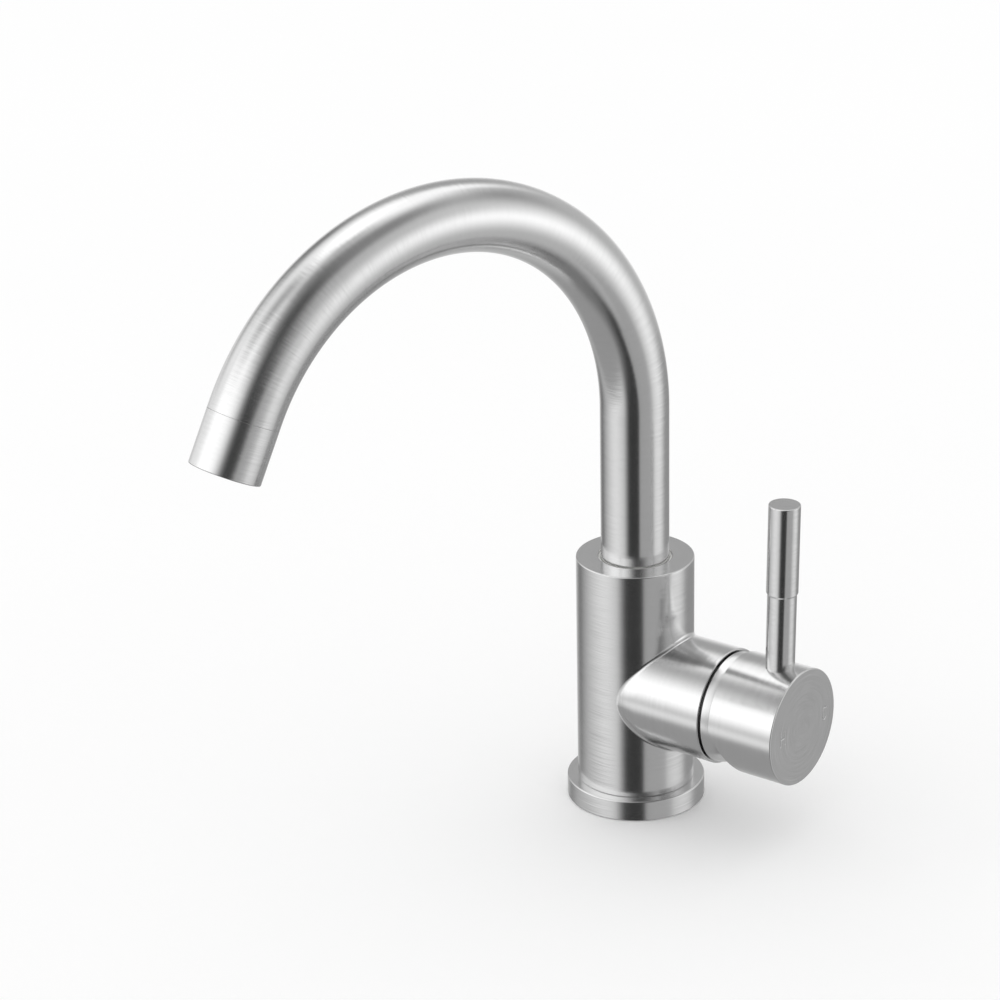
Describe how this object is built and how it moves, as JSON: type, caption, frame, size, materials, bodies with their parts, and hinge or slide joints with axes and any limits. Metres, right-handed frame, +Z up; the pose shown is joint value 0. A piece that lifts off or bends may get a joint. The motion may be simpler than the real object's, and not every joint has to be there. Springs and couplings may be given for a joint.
{
  "type": "single-hole lavatory faucet",
  "caption": "Single-hole basin faucet: column on a flat flange, swivelling gooseneck spout with aerator, and a side lever that mixes and opens the water.",
  "frame": {"origin": "centre of the base on the deck, at the axis of the column and of the fixing stud", "axes": "+Z up along the column, +X along the valve housing towards the handle, -Y the front, towards which the spout reaches"},
  "size_m": [0.1291, 0.2077, 0.2547],
  "materials": {
    "brushed_steel": "fine brushed stainless steel, lines round each tube",
    "screw_steel": "plain turned stainless steel",
    "seal_rubber": "matt black rubber",
    "turned_brass": "turned brass",
    "white_plastic": "moulded white plastic",
    "grey_plastic": "moulded grey plastic",
    "white_ceramic": "lapped white ceramic"
  },
  "bodies": {
    "column": {"faucet_body": "brushed_steel", "base_flange": "brushed_steel", "base_seal": "seal_rubber", "spout_lock_screw": "screw_steel", "top_bush": "white_plastic", "cartridge_base": "white_plastic", "seat_seals": "seal_rubber", "disc_seals": "seal_rubber", "cartridge_housing": "grey_plastic", "fixed_disc": "white_ceramic", "cartridge_nut": "screw_steel", "bonnet_o_ring": "seal_rubber", "bonnet_dome": "brushed_steel"},
    "spout": {"spout_tube": "brushed_steel", "spout_foot": "turned_brass", "spout_o_rings": "seal_rubber", "spout_glide_ring": "white_plastic", "outlet_collar": "brushed_steel", "aerator_cage": "white_plastic", "aerator_screen": "white_plastic", "aerator_diffuser": "white_plastic", "aerator_washer": "seal_rubber"},
    "turret": {"lever_holder": "grey_plastic", "holder_o_ring": "seal_rubber", "pivot_pin": "screw_steel"},
    "handle": {"cartridge_stem": "turned_brass", "handle_cap": "brushed_steel", "handle_lever": "brushed_steel", "handle_set_screw": "screw_steel", "set_screw_plug": "grey_plastic"},
    "disc_slide": {"disc_carrier": "white_plastic", "moving_disc": "white_ceramic"}
  },
  "joints": [
    {"name": "spout_swivel", "type": "hinge", "parent": "column", "child": "spout", "pos_m": [0, 0, 0.096], "axis": [0, 0, 1], "continuous": true},
    {"name": "handle_turn", "type": "hinge", "parent": "column", "child": "turret", "pos_m": [0.04, 0, 0.0463], "axis": [1, 0, 0], "range_deg": [-50, 50]},
    {"name": "handle_tilt", "type": "hinge", "parent": "turret", "child": "handle", "pos_m": [0.04, 0, 0.0463], "axis": [0, 1, 0], "range_deg": [0, 25]},
    {"name": "disc_travel", "type": "slide", "parent": "turret", "child": "disc_slide", "axis": [0, 0, 1], "range_m": [0, 0.0046]}
  ],
  "couplings": [
    {"joint": "disc_travel", "follows": "handle_tilt", "m_per_rad": 0.010461}
  ]
}
